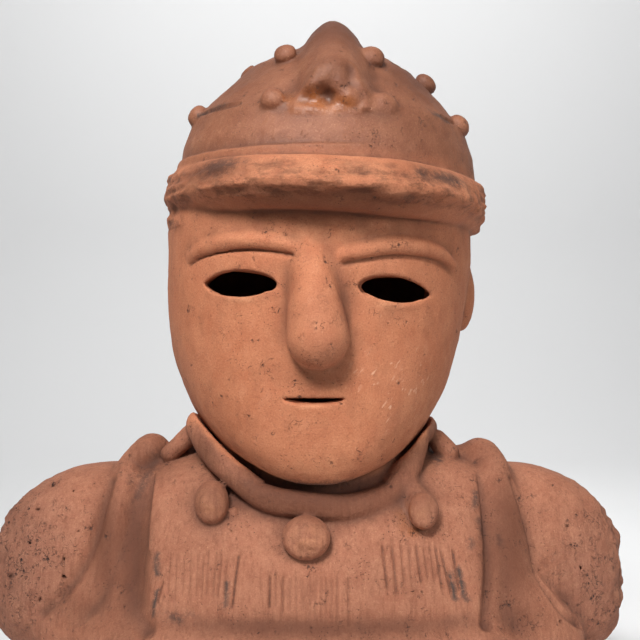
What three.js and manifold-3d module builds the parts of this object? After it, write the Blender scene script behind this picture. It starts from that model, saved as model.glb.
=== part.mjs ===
// A haniwa: the head and shoulders of an armoured figure, built up by hand from coils and lumps of
// clay and fired in one piece. It is a hollow shell, open underneath, with the eyes and the mouth cut
// through the wall. The arms are broken off at the shoulders and the crest has lost its front.
//
// Millimetres, +Z up. The origin is the centre of the flat underside and the face looks along -Y, so
// that "left" and "right" below are the viewer's: left is -X and right is +X.
import * as THREE from "three";
import { mergeVertices } from "three/addons/utils/BufferGeometryUtils.js";
import Module from "manifold-3d";

const wasm = await Module();
wasm.setup();

// Driving dimensions.
const WALL = 12; // thickness of the fired clay shell
const CHEST_HALF_WIDTH = 145; // at the cut underside
const CHEST_HALF_DEPTH = 86;
const SHOULDER_Z = 132; // top of the shoulders, where the neck begins
const LEDGE_Z = 50; // upper edge of the cuirass below the chest panel
const FACE_HALF_WIDTH = 84;
const FACE_FRONT = 86; // from the head's axis to the middle of the face
const CHIN_Z = 121;
const CHEEK_Z = 238; // widest level of the face
const BRIM_Z = 275; // middle of the brim
const SEAM_Z = 314; // joint between the helmet's lower and middle bands
const UPPER_SEAM_Z = 345; // joint between its middle and top bands
const DOME_TOP_Z = 358;
const HELMET_X = 3; // the helmet sits a little to the right of the face
const HELMET_ROLL = THREE.MathUtils.degToRad(2); // and leans to that side

const degrees = THREE.MathUtils.degToRad;
const at = (x, y, z) => new THREE.Vector3(x, y, z);

// A closed three.js geometry as a solid that can be joined and cut.
function solidOf(geometry) {
  const bare = geometry.clone();
  bare.deleteAttribute("normal");
  bare.deleteAttribute("uv");
  const merged = mergeVertices(bare, 1e-3);
  const corners = Array.from(merged.index.array);
  const triVerts = [];
  for (let i = 0; i < corners.length; i += 3) {
    const [a, b, c] = corners.slice(i, i + 3);
    if (a !== b && b !== c && c !== a) triVerts.push(a, b, c);
  }
  return new wasm.Manifold(
    new wasm.Mesh({
      numProp: 3,
      vertProperties: new Float32Array(merged.attributes.position.array),
      triVerts: new Uint32Array(triVerts),
    }),
  );
}

// A solid as a three.js geometry again.
function geometryOf(solid) {
  const mesh = solid.getMesh();
  const geometry = new THREE.BufferGeometry();
  geometry.setAttribute(
    "position",
    new THREE.BufferAttribute(new Float32Array(mesh.vertProperties), 3),
  );
  geometry.setIndex(new THREE.BufferAttribute(new Uint32Array(mesh.triVerts), 1));
  geometry.computeVertexNormals();
  return geometry;
}

const joined = (solids) => solids.reduce((whole, solid) => whole.add(solid));
const cutFrom = (solid, cutters) =>
  cutters.reduce((rest, cutter) => rest.subtract(cutter), solid);

// Presses a geometry into shape: move changes each vertex in place.
function moulded(geometry, move) {
  const position = geometry.attributes.position;
  const point = at(0, 0, 0);
  for (let i = 0; i < position.count; i++) {
    point.fromBufferAttribute(position, i);
    move(point);
    position.setXYZ(i, point.x, point.y, point.z);
  }
  return geometry;
}

// A quarter of a superellipse: 1 at share 0, falling to 0 at share 1. A higher power is squarer.
const egg = (share, power) =>
  (1 - Math.min(1, Math.abs(share)) ** power) ** (1 / power);

// A closed body lofted upwards through oval sections. sectionAt(t), with t from 0 to 1, gives the
// section's z, its half width, how far it reaches to the front and the back, and its middle's x.
function lofted(sectionAt, segments, rings) {
  const tube = new THREE.CylinderGeometry(1, 1, 1, segments, rings).rotateX(Math.PI / 2);
  return moulded(tube, (p) => {
    const { z, halfWidth, front, back = front, x = 0, power = 2 } = sectionAt(p.z + 0.5);
    const rim = Math.hypot(p.x, p.y);
    const c = rim ? p.x / rim : 0;
    const s = rim ? p.y / rim : 0;
    const square = (v) => Math.sign(v) * Math.abs(v) ** (2 / power) * rim;
    p.set(
      x + halfWidth * square(c),
      (back - front) / 2 + ((back + front) / 2) * square(s),
      z,
    );
  });
}

// A ball pressed flat: half sizes along X, Y and Z, then turned to face an azimuth and set in place.
// Azimuth 0 faces the viewer, along -Y, and grows towards the right.
function pellet(halfSizes, place, azimuth = 0, segments = 12, rings = 7) {
  return new THREE.SphereGeometry(1, segments, rings)
    .rotateX(Math.PI / 2)
    .scale(...halfSizes)
    .rotateZ(azimuth)
    .translate(...place);
}

// A strip of clay with an oval section, laid along a curve that runs from front to back.
function laidStrip(points, halfWidth, halfThickness, steps, sides = 10) {
  const section = new THREE.Shape().absellipse(0, 0, halfWidth, halfThickness, 0, Math.PI * 2);
  return new THREE.ExtrudeGeometry(section, {
    steps,
    curveSegments: sides,
    bevelEnabled: false,
    extrudePath: new THREE.CatmullRomCurve3(points),
  });
}

// ---- Body: a wide shell, closed over the shoulders, with the ledge of the cuirass round its foot ----

// Half width, reach to the front and height. The back keeps its depth higher up than the chest.
const chestProfile = new THREE.CatmullRomCurve3([
  at(CHEST_HALF_WIDTH, CHEST_HALF_DEPTH, 0),
  at(CHEST_HALF_WIDTH, CHEST_HALF_DEPTH, LEDGE_Z * 0.5),
  at(CHEST_HALF_WIDTH - 4, CHEST_HALF_DEPTH - 2, LEDGE_Z),
  at(CHEST_HALF_WIDTH - 24, CHEST_HALF_DEPTH - 7, LEDGE_Z + 28),
  at(CHEST_HALF_WIDTH - 32, CHEST_HALF_DEPTH - 17, SHOULDER_Z - 26),
  at(CHEST_HALF_WIDTH - 40, CHEST_HALF_DEPTH - 30, SHOULDER_Z - 8),
  at(CHEST_HALF_WIDTH - 62, CHEST_HALF_DEPTH - 48, SHOULDER_Z),
]);
const backFullness = 26; // how much deeper the back is than the chest at shoulder height

// The body at a depth under its skin: 0 for the outside, WALL for the hollow.
function bodyShell(inset) {
  const top = 1 - inset / SHOULDER_Z;
  return lofted(
    (t) => {
      const p = chestProfile.getPoint(t);
      return {
        z: p.z * top - (inset && t === 0 ? 1 : 0),
        halfWidth: p.x - inset,
        front: p.y - inset,
        back: p.y - inset + backFullness * (p.z / SHOULDER_Z) ** 2,
        power: 2.2,
      };
    },
    inset ? 24 : 36,
    inset ? 6 : 9,
  );
}

// The raised upper edge of the cuirass, a low band round the foot of the chest.
const ledge = { height: 26, rise: 3.5 };
function cuirassLedge() {
  return lofted(
    (t) => {
      const bulge = ledge.rise * egg(2 * t - 1, 3);
      return {
        z: LEDGE_Z - ledge.height * (1 - t),
        halfWidth: CHEST_HALF_WIDTH - 3 + bulge,
        front: CHEST_HALF_DEPTH - 3 + bulge,
        power: 2.2,
      };
    },
    36,
    3,
  );
}

// ---- Arm stumps: thick round shoulders, hollow inside, whose outer ends are broken faces ----

const stump = { middleZ: 57, up: 71, down: 42, halfDepth: 44, y: 4, power: 2.3 };
const leftReach = 184;
const rightReach = 170;

// A stump at a depth under its skin. side is -1 on the left and 1 on the right.
function armStump(reach, side, inset) {
  const root = reach - 74;
  const [segments, rings] = inset ? [10, 6] : [16, 10];
  const ball = new THREE.SphereGeometry(1, segments, rings).rotateX(Math.PI / 2);
  return moulded(ball, (p) => {
    const norm = Math.abs(p.x) ** stump.power + Math.abs(p.y) ** stump.power
      + Math.abs(p.z) ** stump.power;
    p.multiplyScalar(norm ** (-1 / stump.power));
    p.set(
      side * root + p.x * (reach - root - inset * 1.2),
      stump.y + p.y * (stump.halfDepth - inset),
      stump.middleZ + p.z * ((p.z > 0 ? stump.up : stump.down) - inset),
    );
  });
}

// The break: a tilted slab takes the round end off and leaves a flat face.
function breakFace(reach, side, tilt, lean) {
  return new THREE.BoxGeometry(40, 150, 150)
    .translate(side * 20, 0, 0)
    .rotateY(side * tilt)
    .rotateZ(side * lean)
    .translate(side * (reach - 5), stump.y, stump.middleZ);
}

// A bite out of the right stump's edge, where a flake has come away.
const flake = pellet([8, 30, 7], [rightReach + 2, -22, 52], 0, 10, 6);

// ---- Shoulder straps: thick rolls of clay over the shoulders, spreading into the ledge ----

const strap = { topX: 91, frontX: 95, halfWidth: 11, halfThickness: 13 };

// side is -1 on the left and 1 on the right. The front and back ends run down into the ledge.
function shoulderStrap(side) {
  const x = (value) => side * value;
  return laidStrip(
    [
      at(x(strap.frontX + 3), -64, LEDGE_Z - 10),
      at(x(strap.frontX + 1), -62, LEDGE_Z + 16),
      at(x(strap.frontX), -52, SHOULDER_Z - 30),
      at(x(strap.topX + 1), -26, SHOULDER_Z - 3),
      at(x(strap.topX), 4, SHOULDER_Z + 1),
      at(x(strap.topX + 1), 36, SHOULDER_Z - 7),
      at(x(strap.frontX), 62, SHOULDER_Z - 32),
      at(x(strap.frontX + 1), 68, LEDGE_Z + 16),
      at(x(strap.frontX + 3), 66, LEDGE_Z - 10),
    ],
    strap.halfWidth,
    strap.halfThickness,
    14,
    3,
  );
}

// ---- Neck, with a collar sagging towards the front and a string of round pendants ----

const neck = { halfWidth: 58, halfDepth: 57, y: 1 };
const neckTube = (inset, bottom, top) =>
  new THREE.CylinderGeometry(1, 1, top - bottom, 32, 1)
    .rotateX(Math.PI / 2)
    .scale(neck.halfWidth - inset, neck.halfDepth - inset, 1)
    .translate(0, neck.y, (top + bottom) / 2);

const collar = { radius: 62, halfHeight: 10.5, halfThickness: 8.5, x: -2, z: 136 };
// The collar sags over the chest and lies almost level behind.
const collarHeight = (y) => collar.z + y * (y < 0 ? 0.31 : 0.1);
const collarRing = moulded(new THREE.TorusGeometry(collar.radius, 1, 6, 32), (p) => {
  const around = Math.hypot(p.x, p.y);
  const radius = collar.radius + (around - collar.radius) * collar.halfThickness;
  const x = (p.x / around) * radius;
  const y = (p.y / around) * radius;
  p.set(x + collar.x, y, collarHeight(y) + p.z * collar.halfHeight);
});

// The clay packed in under the collar, from inside the shoulders up to the collar's middle.
const collarFoot = moulded(
  new THREE.CylinderGeometry(collar.radius, collar.radius, 1, 32).rotateX(Math.PI / 2),
  (p) => p.set(p.x + collar.x, p.y, p.z > 0 ? collarHeight(p.y) : SHOULDER_Z - 34),
);

// Nine pendants at even steps round the collar. They hang on the chest in front and lie on the
// shoulders at the sides and behind.
const pendant = { count: 9, ring: 79, firstAzimuth: degrees(-4), size: 9.4, frontSize: 12 };
function pendants() {
  return Array.from({ length: pendant.count }, (_, i) => {
    const azimuth = pendant.firstAzimuth + (i * 2 * Math.PI) / pendant.count;
    const forward = Math.cos(azimuth);
    const size = THREE.MathUtils.lerp(pendant.size, pendant.frontSize, Math.max(0, forward) ** 4);
    const height = forward > 0 ? 142 - 45 * forward ** 1.3 : 142 + 10 * forward;
    return pellet(
      [size, 8, size * 0.95],
      [collar.x + pendant.ring * Math.sin(azimuth), -pendant.ring * forward, height],
      azimuth,
      10,
      6,
    );
  });
}

// ---- Head: an egg with a flat face, whose jaw stands proud of the neck ----

const headTop = 292; // inside the helmet
function headShell(inset) {
  const drop = CHEEK_Z - CHIN_Z - inset;
  const bottom = CHEEK_Z - drop;
  const top = headTop - inset;
  return lofted(
    (t) => {
      // Closer rings near the chin, where the outline turns in.
      const z = bottom + 0.4 + (top - bottom - 0.4) * t ** 1.7;
      const share = Math.max(0, CHEEK_Z - z) / drop;
      return {
        z,
        halfWidth: (FACE_HALF_WIDTH - inset) * egg(share, 2.25) - Math.max(0, z - 262) * 0.15,
        front: (FACE_FRONT - inset) * (0.62 + 0.38 * egg(share, 4)),
        back: -50 + inset + (134 - 2 * inset) * egg(share, 2.2),
        x: -0.5 - 2.5 * Math.sin(Math.PI * share),
      };
    },
    inset ? 22 : 36,
    inset ? 7 : 14,
  );
}

// The nose: a wedge of clay that widens to a blunt ball.
const nose = { topZ: 246, tipZ: 179, topHalfWidth: 8, halfWidth: 15.5, reach: 21 };
const noseWedge = lofted(
  (t) => {
    // Closer rings near the ball, where it turns under.
    const down = 1 - t ** 1.3;
    const round = Math.max(0.05, egg(Math.max(0, (down - 0.8) / 0.2), 2.2));
    return {
      z: nose.topZ - (nose.topZ - nose.tipZ) * down,
      halfWidth: THREE.MathUtils.lerp(nose.topHalfWidth, nose.halfWidth, down ** 0.8) * round,
      front: FACE_FRONT - 4 + (3 + (nose.reach + 1) * down ** 1.2) * round,
      back: 12 - FACE_FRONT,
      x: -1,
    };
  },
  14,
  12,
);

const faceY = (x) => -FACE_FRONT * egg(x / FACE_HALF_WIDTH, 2);

// A brow: a low ridge lying on the forehead, highest over the middle of the eye.
function brow(innerX, outerX, innerZ, middleZ, outerZ) {
  const half = (outerX - innerX) / 2;
  const lift = middleZ - (innerZ + outerZ) / 2;
  const strip = new THREE.SphereGeometry(1, 7, 9).rotateZ(Math.PI / 2);
  return moulded(strip, (p) => {
    const x = innerX + half + p.x * Math.abs(half);
    const along = (x - innerX) / (outerX - innerX);
    const z = THREE.MathUtils.lerp(innerZ, outerZ, along) + lift * (1 - (2 * along - 1) ** 2);
    p.set(x, faceY(x) + 1 + p.y * 4.5, z + p.z * 3.5);
  });
}

// An eye: an almond cut through the wall, more or less square to it.
function eyeHole(x, z, width, height, turn, roll) {
  const half = width / 2;
  const almond = new THREE.Shape()
    .moveTo(-half, 0)
    .bezierCurveTo(-half * 0.8, height * 0.68, half * 0.7, height * 0.66, half, 0)
    .bezierCurveTo(half * 0.7, -height * 0.68, -half * 0.8, -height * 0.68, -half, 0);
  return new THREE.ExtrudeGeometry(almond, { depth: 60, curveSegments: 8, bevelEnabled: false })
    .translate(0, 0, -36)
    .rotateZ(roll)
    .rotateX(Math.PI / 2)
    .rotateZ(turn)
    .translate(x, faceY(x), z);
}

// The mouth: a thin slit cut through the wall, sharper at its right end.
function mouthSlit(x, z, width, height) {
  const half = width / 2;
  const slit = new THREE.Shape()
    .moveTo(-half, height * 0.4)
    .lineTo(half, height * 0.3)
    .quadraticCurveTo(half * 0.4, -height * 0.75, 0, -height * 0.6)
    .quadraticCurveTo(-half * 0.8, -height * 0.6, -half, height * 0.4);
  return new THREE.ExtrudeGeometry(slit, { depth: 50, curveSegments: 6, bevelEnabled: false })
    .translate(0, 0, -20)
    .rotateX(Math.PI / 2)
    .translate(x, -FACE_FRONT, z);
}

const ear = { y: 14, z: 220, halfSizes: [6, 13, 19] };

// ---- Helmet: a dome of three bands with a thick upturned brim, two rows of rivets and a crest ----

// Leans a helmet part to the right about the brim's middle, then sets it over the head.
const onHelmet = (geometry) =>
  geometry
    .translate(0, 0, -BRIM_Z)
    .rotateY(HELMET_ROLL)
    .translate(HELMET_X, 0, BRIM_Z);

const domeRadius = { foot: 82, seam: 74, upperSeam: 44 };
function domeShell(inset) {
  const step = inset ? 0 : 1.6; // each band overlaps the one above it
  const profile = [
    [0, BRIM_Z - 12],
    [domeRadius.foot - inset, BRIM_Z - 12],
    [domeRadius.foot - inset, BRIM_Z + 16],
    [domeRadius.foot - 3 - inset, BRIM_Z + 28],
    [domeRadius.seam - inset, SEAM_Z - inset * 0.3],
    [domeRadius.seam - step - inset, SEAM_Z + 1 - inset * 0.3],
    [domeRadius.seam - 12 - inset * 0.9, SEAM_Z + 14 - inset * 0.5],
    [domeRadius.upperSeam + 9 - inset * 0.8, UPPER_SEAM_Z - 7 - inset * 0.7],
    [domeRadius.upperSeam - inset * 0.7, UPPER_SEAM_Z - inset * 0.8],
    [domeRadius.upperSeam - step - inset * 0.7, UPPER_SEAM_Z + 1 - inset * 0.8],
    [domeRadius.upperSeam - 20, DOME_TOP_Z - 4 - inset],
    [domeRadius.upperSeam - 34, DOME_TOP_Z - 0.6 - inset],
    [0, DOME_TOP_Z - inset],
  ].map(([r, z]) => new THREE.Vector2(r, z));
  return new THREE.LatheGeometry(profile, inset ? 22 : 34)
    .rotateX(Math.PI / 2)
    .scale(1, 1.03, 1);
}

// The brim: a ring that reaches furthest over the face. Its underside rises outwards from the head,
// and its edge is a rough upright face. Each row is a share of the reach and a height from the middle.
const brim = { root: 83, halfWidth: 89, front: 112, back: 92 };
const brimRows = [
  [0, -15],
  [0.72, -8],
  [0.97, -6],
  [1, -2],
  [0.97, 6],
  [0.75, 9],
];
const brimRing = lofted(
  (t) => {
    const row = t * (brimRows.length - 1);
    const [share, z] = brimRows[Math.round(row)];
    const reach = (full) => THREE.MathUtils.lerp(brim.root, full, share);
    return {
      z: BRIM_Z + z,
      halfWidth: reach(brim.halfWidth),
      front: reach(brim.front),
      back: reach(brim.back),
    };
  },
  34,
  brimRows.length - 1,
);

// A rivet is a pressed pellet of clay on a seam, flat side out. slope tips it back with the dome.
const rivet = { radius: 6.8, halfThickness: 5 };
function rivetAt(azimuthDegrees, ringRadius, z, slope) {
  const azimuth = degrees(azimuthDegrees);
  return new THREE.SphereGeometry(1, 8, 5)
    .scale(rivet.radius, rivet.halfThickness, rivet.radius)
    .rotateX(-slope)
    .rotateZ(azimuth)
    .translate(ringRadius * Math.sin(azimuth), -1.03 * ringRadius * Math.cos(azimuth), z);
}
const lowerRivets = [0, 1, 2, 3, 4, 5, 6].map((i) =>
  rivetAt(25.7 + (i * 360) / 7, domeRadius.seam - 1, SEAM_Z + 1, degrees(30)),
);
// The upper row has lost the rivet on its left side, and it droops to the right.
const upperRivets = [
  [-30, 47, 345],
  [30, 48, 344],
  [85, 53, 340],
  [142, 50, 343],
  [-142, 47, 346],
].map(([azimuth, radius, z]) => rivetAt(azimuth, radius, z, degrees(45)));

// The crest: a lump shaped like a horn, which stands over the lower seam and leans back to the top
// of the dome. Its front is broken off blunt. Each row is a height, half width, front and back.
const crestRows = [
  [SEAM_Z - 3, 19, 77, -30],
  [SEAM_Z + 1, 19, 80, -30],
  [SEAM_Z + 9, 16.5, 78, -30],
  [SEAM_Z + 22, 14.5, 72, -10],
  [SEAM_Z + 34, 14, 64, 12],
  [SEAM_Z + 42, 13, 56, 14],
  [SEAM_Z + 48, 10, 50, 2],
  [SEAM_Z + 51.5, 5.5, 42, -12],
  [SEAM_Z + 52.8, 2, 36, -22],
];
const keel = lofted(
  (t) => {
    const [z, halfWidth, front, back] = crestRows[Math.round(t * (crestRows.length - 1))];
    return { z, halfWidth, front, back, x: 1.4 * t - 1.2, power: 3.4 - 1.4 * t };
  },
  14,
  crestRows.length - 1,
);

const outside = joined(
  [
    bodyShell(0),
    cuirassLedge(),
    shoulderStrap(-1),
    shoulderStrap(1),
    neckTube(0, SHOULDER_Z - 20, 200),
    collarFoot,
    collarRing,
    ...pendants(),
    headShell(0),
    noseWedge,
    brow(-10, -68, 241, 244.5, 239),
    brow(13, 69, 238, 242, 234),
    pellet(ear.halfSizes, [-80.5, ear.y, ear.z]),
    pellet(ear.halfSizes, [81, ear.y - 4, ear.z]),
    ...[domeShell(0), brimRing, ...lowerRivets, ...upperRivets, keel].map(onHelmet),
  ].map(solidOf),
);

const stumps = cutFrom(
  joined([
    solidOf(armStump(leftReach, -1, 0)),
    solidOf(armStump(rightReach, 1, 0)),
  ]),
  [
    solidOf(breakFace(leftReach, -1, degrees(12), degrees(6))),
    solidOf(breakFace(rightReach, 1, degrees(4), degrees(8))),
    solidOf(flake),
  ],
);

const hollow = joined(
  [
    bodyShell(WALL),
    armStump(leftReach, -1, WALL),
    armStump(rightReach, 1, WALL),
    neckTube(WALL, SHOULDER_Z - 40, 190),
    headShell(WALL),
    onHelmet(domeShell(WALL)),
  ].map(solidOf),
);

const figure = cutFrom(outside.add(stumps), [
  hollow,
  solidOf(eyeHole(-40.5, 223, 40, 13, degrees(-18), degrees(-1.5))),
  solidOf(eyeHole(37.2, 220, 37, 13.4, degrees(8), degrees(-3))),
  solidOf(mouthSlit(-3, 165, 28, 3.6)),
]);

const clay = new THREE.MeshStandardMaterial({ color: 0xb9765a, roughness: 0.82, metalness: 0 });
const haniwa = new THREE.Mesh(geometryOf(figure), clay);
haniwa.name = "haniwa_figure";

// Centres the figure over the origin: the head sits a little in front of the middle, and the left arm
// is the longer one.
const middle = new THREE.Box3().setFromObject(haniwa).getCenter(at(0, 0, 0));
haniwa.geometry.translate(-middle.x, -middle.y, 0);

const part = new THREE.Group();
part.add(haniwa);
export default part;
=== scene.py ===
import bmesh
import bpy
import numpy as np
import openvdb
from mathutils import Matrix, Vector


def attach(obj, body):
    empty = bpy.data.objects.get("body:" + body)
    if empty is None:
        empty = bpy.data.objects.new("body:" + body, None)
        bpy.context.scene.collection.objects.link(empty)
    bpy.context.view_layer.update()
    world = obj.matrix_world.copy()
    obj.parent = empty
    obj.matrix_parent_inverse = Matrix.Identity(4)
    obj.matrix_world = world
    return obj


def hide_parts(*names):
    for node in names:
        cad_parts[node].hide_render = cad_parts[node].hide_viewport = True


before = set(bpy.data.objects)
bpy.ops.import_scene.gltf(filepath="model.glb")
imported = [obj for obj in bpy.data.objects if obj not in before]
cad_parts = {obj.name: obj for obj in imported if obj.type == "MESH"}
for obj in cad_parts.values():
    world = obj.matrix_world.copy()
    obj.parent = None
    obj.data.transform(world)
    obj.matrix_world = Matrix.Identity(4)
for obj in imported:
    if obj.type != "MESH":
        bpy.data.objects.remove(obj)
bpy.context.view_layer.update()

# ---------------------------------------------------------------------------------------------
# The haniwa figure. One hollow piece of reddish fired clay: coils squeezed up by hand, smoothed
# over, with the brim, crest, rivets, nose, brows, collar, beads and straps pressed on while the
# clay was wet. Nothing is fixed to it, and its edges are worn, broken and sooty.
# ---------------------------------------------------------------------------------------------

# The clay is worked out in millimetres about the head's axis, with z from the cut underside. The
# head stands a little to the right of the footprint's middle and behind it.
head_axis = (7.685, 10.0)
wall = 12.0
grain = 1.0  # mm between the points at which the clay is worked out
block_low = (-192.0, -120.0, -5.0)
block_high = (184.0, 106.0, 374.0)
axes = [
    np.arange(low, high, grain, dtype=np.float32)
    for low, high in zip(block_low, block_high)
]
# The distance of each point from the clay's surface, less than nothing inside the clay.
clay = np.full([len(a) for a in axes], 60.0, np.float32)


def patch(low, high, margin):
    """The piece of the block between two corners: its place, and its x, y and z."""
    cuts = tuple(
        slice(*np.searchsorted(a, (lo - margin, hi + margin)))
        for a, lo, hi in zip(axes, low, high)
    )
    x, y, z = (a[c] for a, c in zip(axes, cuts))
    return cuts, x[:, None, None], y[None, :, None], z[None, None, :]


def soft_min(a, b, blend):
    """The lesser of two distances, rounded over where they meet, as a thumb smooths clay."""
    share = np.clip(0.5 + 0.5 * (b - a) / blend, 0, 1)
    return b + (a - b) * share - blend * share * (1 - share)


def press_on(shape, low, high, blend=3.0):
    cuts, x, y, z = patch(low, high, blend + 3 * grain)
    clay[cuts] = soft_min(clay[cuts], shape(x, y, z), blend)


def cut_out(shape, low, high, blend=1.0):
    cuts, x, y, z = patch(low, high, blend + 3 * grain)
    clay[cuts] = -soft_min(-clay[cuts], shape(x, y, z), blend)


def true_distance(value):
    """A measure that is nothing on the surface, made into a distance near it."""
    steepness = np.sqrt(sum(g * g for g in np.gradient(value, grain)))
    return value / np.clip(steepness, 0.35, None)


def eased(z, heights, values, reach=5.0):
    """A profile through these heights and values, with its corners rounded off."""
    shifts = np.linspace(-reach, reach, 7)
    return sum(np.interp(z + s, heights, values) for s in shifts) / len(shifts)


def egg(share, power):
    """A quarter of a rounded square: 1 at share 0 and 0 at share 1."""
    return (1 - np.clip(np.abs(share), 0, 1) ** power) ** (1 / power)


# ---- Body, arm stumps and neck ----
chest_heights = [-20, 24, 45, 53, 62, 80, 106, 124, 132, 140]
chest_half_widths = [145, 145, 143.5, 139, 130, 121, 113, 104, 84, 60]
chest_fronts = [88, 88, 86, 78, 78.5, 75, 61, 47, 36, 26]
chest_backs = [85, 86, 86, 84, 84, 88, 86, 77, 64, 50]


def body(x, y, z):
    half_width = eased(z, chest_heights, chest_half_widths)
    front = eased(z, chest_heights, chest_fronts)
    back = eased(z, chest_heights, chest_backs)
    depth = np.where(y < 0, front, back)
    around = np.hypot(x, y) + 0.01
    section = (np.abs(x / half_width) ** 2.2 + np.abs(y / depth) ** 2.2) ** (1 / 2.2)
    radial = around * (1 - 1 / np.maximum(section, 1e-3))
    return -soft_min(-true_distance(radial), 134 - z, 6)


press_on(body, (-150, -92, -20), (150, 95, 140), 0.1)


def stump(side, root, reach, up, down):
    """A thick arm broken off short: rounder above than below, and blunt at the end."""

    def distance(x, y, z):
        along = (x - side * root) / (reach - root)
        across = (y - 4) / 44
        over = np.where(z > 57, (z - 57) / up, (z - 57) / down)
        size = (np.abs(along) ** 2.3 + np.abs(across) ** 2.3 + np.abs(over) ** 2.3) ** (1 / 2.3)
        far = np.sqrt((x - side * root) ** 2 + (y - 4) ** 2 + (z - 57) ** 2)
        return true_distance(far * (1 - 1 / np.maximum(size, 1e-3)))

    return distance


press_on(stump(-1, 110, 184, 71, 42), (-186, -42, 12), (-60, 50, 130), 5)
press_on(stump(1, 97, 171, 71, 42), (60, -42, 12), (174, 50, 130), 5)


neck_radius = 57.5


def neck(x, y, z):
    return true_distance(np.hypot(x, y - 1) - neck_radius + 0 * z)


press_on(neck, (-60, -60, 95), (60, 62, 190), 4)
body_form = clay.copy()


# ---- Head: an egg-shaped tube with a flat face that runs down to an overhanging jaw ----
head_half_width = 84
temple_height = 238
jaw_height = 121


def down_face(z):
    """0 at the temples and above, and 1 at the foot of the jaw."""
    return np.clip((temple_height - z) / 117, 0, 1)


def off_middle(x, share):
    """x from the face's own middle, which swings a little to the left half way down."""
    return x + 0.5 + 2.5 * np.sin(np.pi * share)


def head(x, y, z):
    share = down_face(z)
    half_width = head_half_width * egg(share, 2.25) - np.clip(z - 262, 0, None) * 0.15
    depth = np.where(
        y < 0, 86 * (0.62 + 0.38 * egg(share, 4)), -50 + 134 * egg(share, 2.2)
    )
    depth = np.maximum(depth, 4)
    across = off_middle(x, share)
    around = np.hypot(across, y) + 0.01
    square = 2 + np.where(y < 0, 1.3, 0.4) * share**3
    sideways = np.abs(across / np.maximum(half_width, 1)) ** square
    size = (sideways + np.abs(y / depth) ** square) ** (1 / square)
    jaw = true_distance(around - around / (size + 1e-4))
    return np.maximum(-soft_min(-jaw, z - jaw_height, 2.5), z - 292)


press_on(head, (-88, -90, 119), (88, 90, 292), 1.5)

# ---- Helmet dome: three bands of clay, each lapped over the one above it ----
dome_profile = [
    (0, 262),
    (82, 262),
    (82.5, 284),
    (80.5, 298),
    (77, 308),
    (74.3, 314.2),
    (73.2, 315.2),
    (62.8, 327.5),
    (51.5, 338.5),
    (46, 343.6),
    (43.6, 345.4),
    (42.6, 345.6),
    (34, 351),
    (22, 356.3),
    (10, 358.8),
    (0, 359.2),
]


helmet_droop = np.radians(2.2)
brim_middle = (3, 275)  # x and z


def leaned(x, z):
    """x and z about the middle of the brim, turned so that the helmet droops to the right."""
    from_x = x - brim_middle[0]
    from_z = z - brim_middle[1]
    across = from_x * np.cos(helmet_droop) - from_z * np.sin(helmet_droop)
    up = from_x * np.sin(helmet_droop) + from_z * np.cos(helmet_droop)
    return across, up + brim_middle[1]


def turned(profile):
    """Turns a closed outline of radius and height about the helmet's axis."""

    def distance(x, y, z):
        across, up = leaned(x, z)
        radius = np.hypot(across, y / 1.03)
        nearest = np.full(np.broadcast(radius, up).shape, 1e9, np.float32)
        inside = np.ones(nearest.shape, np.float32)
        for (r0, z0), (r1, z1) in zip(profile, profile[1:] + profile[:1]):
            edge_r, edge_z = r1 - r0, z1 - z0
            from_r, from_z = radius - r0, up - z0
            share = np.clip((from_r * edge_r + from_z * edge_z) / (edge_r**2 + edge_z**2), 0, 1)
            gap = (from_r - edge_r * share) ** 2 + (from_z - edge_z * share) ** 2
            nearest = np.minimum(nearest, gap)
            spans = (up >= z0) != (up >= z1)
            left = (edge_r * from_z > edge_z * from_r) == (edge_z > 0)
            inside = np.where(spans & left, -inside, inside)
        return np.sqrt(nearest) * inside

    return distance


press_on(turned(dome_profile), (-86, -88, 262), (92, 88, 362), 1.5)

# The hollow follows this plain form at the wall's thickness, before anything is pressed on.
plain_form = clay.copy()


def rope(points, squash=(1, 1, 1)):
    """A roll of clay along points of x, y, z and radius, pressed flatter along some axis."""

    def distance(x, y, z):
        nearest = None
        for (ax, ay, az, ar), (bx, by, bz, br) in zip(points, points[1:]):
            step = ((bx - ax) / squash[0], (by - ay) / squash[1], (bz - az) / squash[2])
            gap = ((x - ax) / squash[0], (y - ay) / squash[1], (z - az) / squash[2])
            share = sum(g * s for g, s in zip(gap, step)) / sum(s * s for s in step)
            share = np.clip(share, 0, 1)
            away = np.sqrt(sum((g - s * share) ** 2 for g, s in zip(gap, step)))
            away = away - (ar + (br - ar) * share)
            nearest = away if nearest is None else np.minimum(nearest, away)
        return nearest

    return distance


def lay_rope(points, blend, squash=(1, 1, 1)):
    points = np.array(points, float)
    most = points[:, 3].max() * max(squash)
    low = points[:, :3].min(0) - most
    high = points[:, :3].max(0) + most
    press_on(rope(points.tolist(), squash), low, high, blend)


def smooth_path(points, steps=5):
    """More points between the given ones, on a smooth curve through them."""
    p = np.array(points, float)
    p = np.vstack([2 * p[0] - p[1], p, 2 * p[-1] - p[-2]])
    made = []
    for a, b, c, d in zip(p, p[1:], p[2:], p[3:]):
        for t in np.arange(steps) / steps:
            straight = 2 * b + (c - a) * t
            bent = (2 * a - 5 * b + 4 * c - d) * t**2 + (3 * b - a - 3 * c + d) * t**3
            made.append(0.5 * (straight + bent))
    return np.array([*made, p[-2]]).tolist()


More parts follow.
